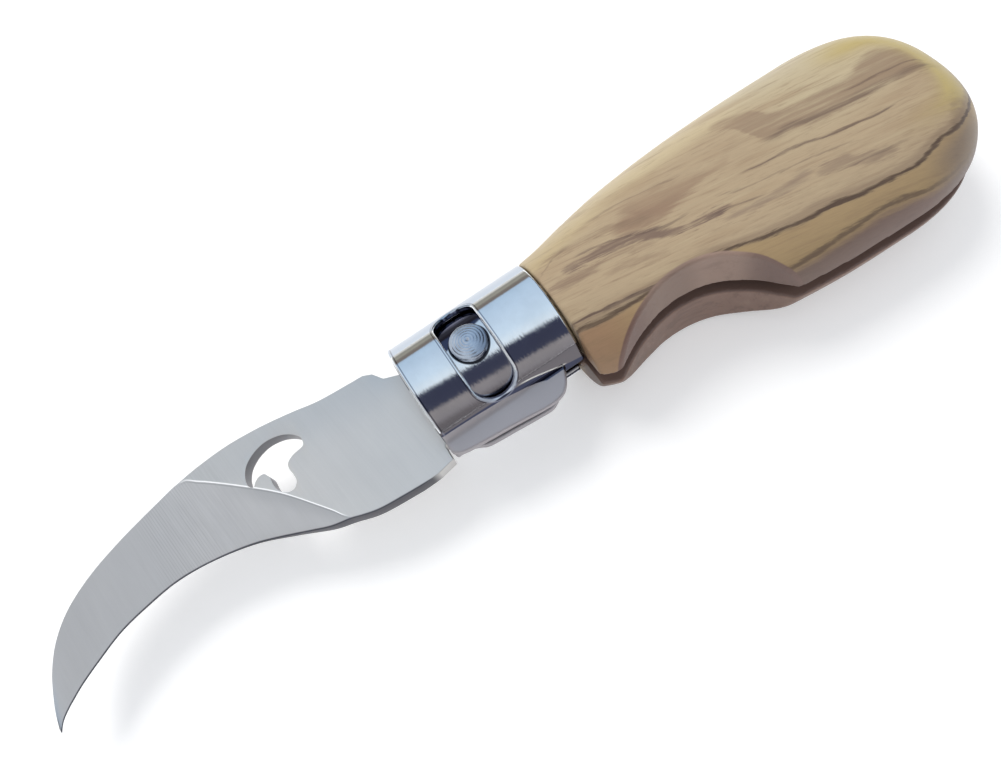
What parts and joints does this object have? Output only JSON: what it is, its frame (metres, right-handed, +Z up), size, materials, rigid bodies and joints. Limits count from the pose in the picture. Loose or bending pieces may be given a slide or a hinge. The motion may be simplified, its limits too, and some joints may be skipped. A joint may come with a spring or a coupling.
{
  "type": "folding mushroom knife",
  "caption": "Folding knife with a hooked blade for cutting mushrooms, a round-butted wooden handle and a turning lock ring with thumb lips at the pivot.",
  "frame": {"origin": "middle of the flat on the far side of the handle, which the knife lies on", "axes": "+X from the pivot to the butt of the handle, +Y to the spine of the handle and of the open blade, +Z up along the pivot rivet"},
  "size_m": [0.1663, 0.0354, 0.02],
  "materials": {
    "olive_wood": "oiled, yellow-tan with dark brown veins",
    "blade_steel": "satin with fine grinding lines across the bevel",
    "ring_steel": "polished bright",
    "ferrule_steel": "polished bright",
    "rivet_steel": "turned rings on the domed heads"
  },
  "bodies": {
    "handle": {"handle": "olive_wood", "inner_ferrule": "ferrule_steel", "pivot_rivet": "rivet_steel"},
    "blade": {"blade": "blade_steel"},
    "lock_ring": {"lock_ring": "ring_steel"}
  },
  "joints": [
    {"name": "blade_pivot", "type": "hinge", "parent": "handle", "child": "blade", "pos_m": [-0.055, 0.004, 0.01], "axis": [0, 0, 1], "range_deg": [0, 165]},
    {"name": "lock_ring_turn", "type": "hinge", "parent": "handle", "child": "lock_ring", "pos_m": [-0.055, 0.004, 0.01], "axis": [-1, 0, 0], "range_deg": [0, 37]}
  ]
}
